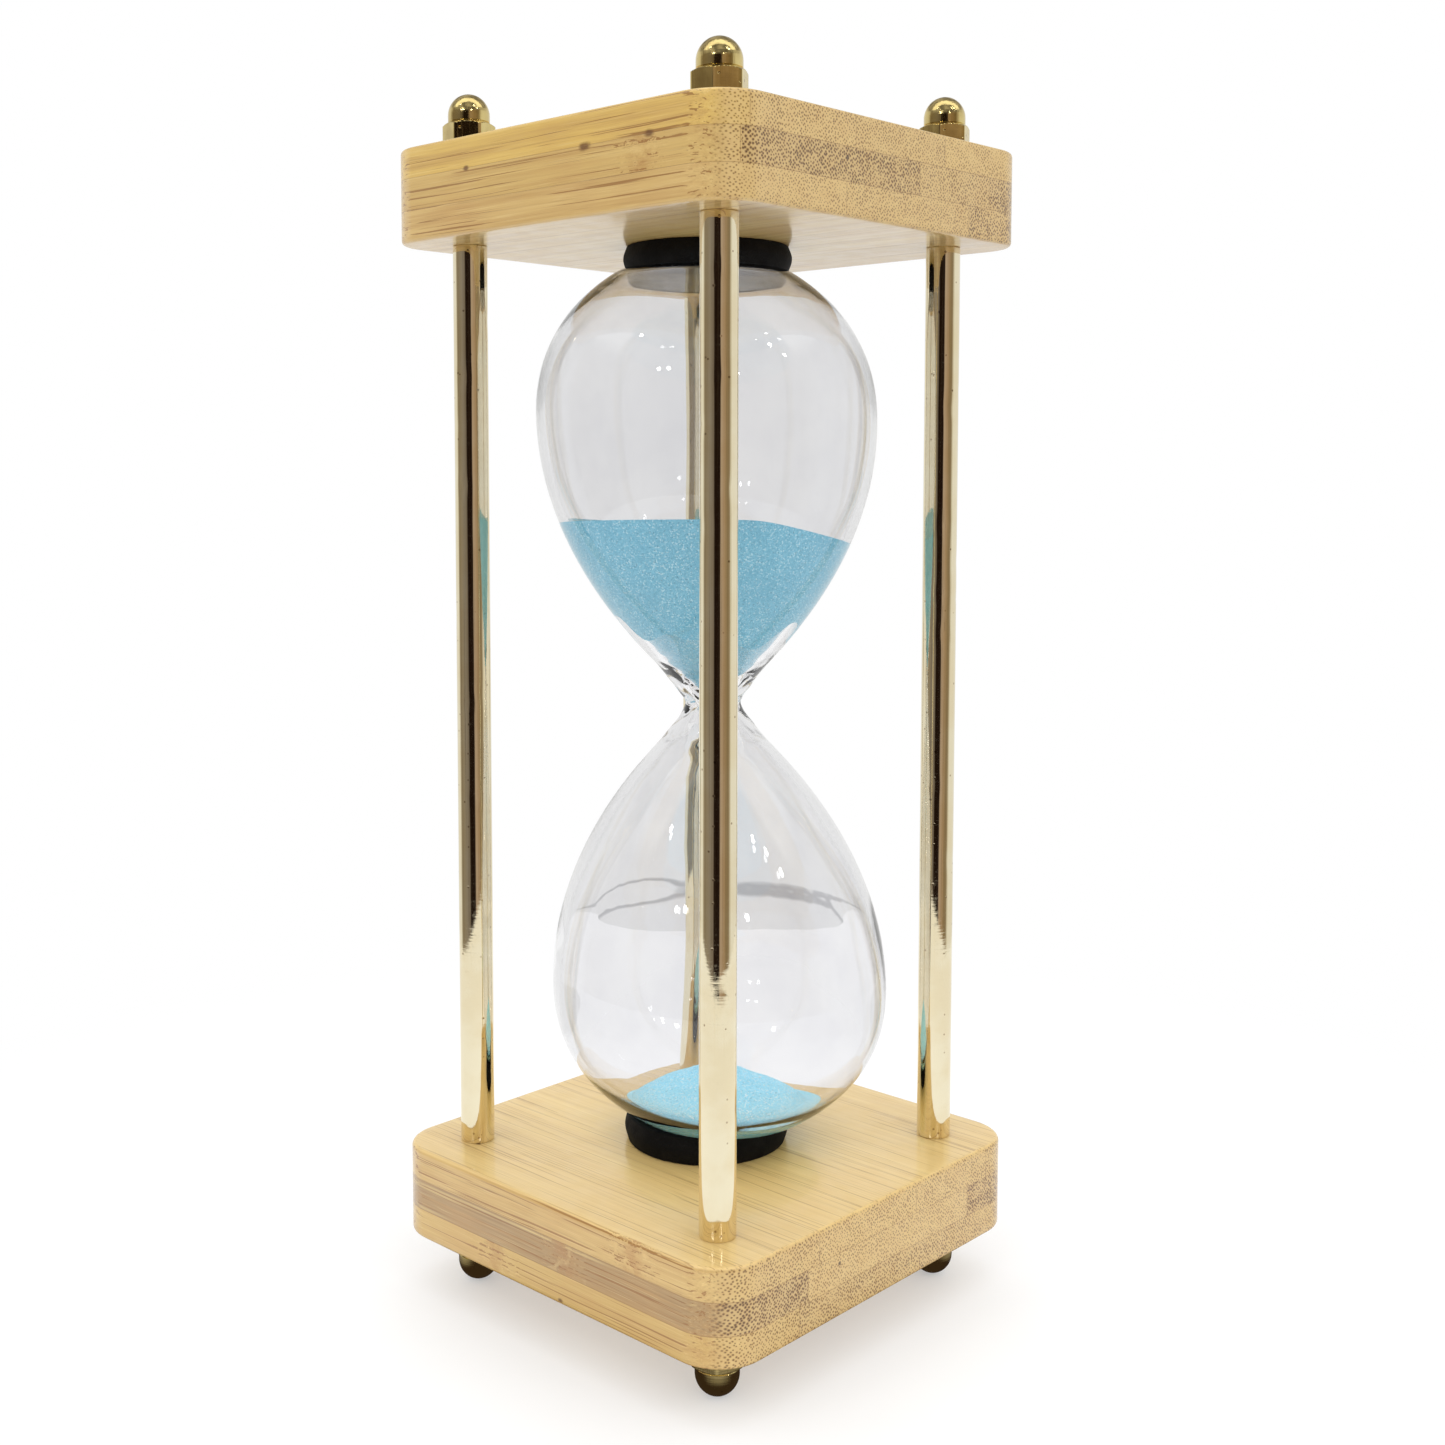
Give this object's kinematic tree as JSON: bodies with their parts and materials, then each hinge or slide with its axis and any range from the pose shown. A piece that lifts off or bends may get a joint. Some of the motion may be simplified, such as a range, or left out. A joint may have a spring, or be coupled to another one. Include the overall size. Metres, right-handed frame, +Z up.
{
  "type": "hourglass",
  "caption": "Sand timer with a two-bulb blown glass held on foam pads between two square bamboo plates, tied by metal columns and domed nuts.",
  "frame": {"origin": "under the centre of the plates, on the surface that the tips of the four lower nuts stand on", "axes": "+Z up through the plates and the glass, +X along the bamboo's grain, +Y across it"},
  "size_m": [0.08, 0.08, 0.2108],
  "materials": {
    "bamboo": "laminated bamboo, clear satin lacquer",
    "column_gold": "pale gold plating, polished, lightly scratched",
    "stud_steel": "plain rolled thread",
    "nut_brass": "polished, slightly aged",
    "black_foam": "closed-cell foam, matte",
    "clear_glass": "clear blown glass",
    "stopper_rubber": "matte moulded rubber",
    "blue_sand": "fine dyed sand"
  },
  "bodies": {
    "root": {"bottom_plate": "bamboo", "top_plate": "bamboo", "column_tube_front_right": "column_gold", "column_tube_front_left": "column_gold", "column_tube_back_right": "column_gold", "column_tube_back_left": "column_gold", "threaded_stud_front_right": "stud_steel", "threaded_stud_front_left": "stud_steel", "threaded_stud_back_right": "stud_steel", "threaded_stud_back_left": "stud_steel", "acorn_nut_top_front_right": "nut_brass", "acorn_nut_top_front_left": "nut_brass", "acorn_nut_top_back_right": "nut_brass", "acorn_nut_top_back_left": "nut_brass", "acorn_nut_bottom_front_right": "nut_brass", "acorn_nut_bottom_front_left": "nut_brass", "acorn_nut_bottom_back_right": "nut_brass", "acorn_nut_bottom_back_left": "nut_brass", "bottom_pad": "black_foam", "top_pad": "black_foam", "glass_bulbs": "clear_glass", "fill_stopper": "stopper_rubber", "upper_sand": "blue_sand", "lower_sand": "blue_sand"}
  },
  "joints": []
}
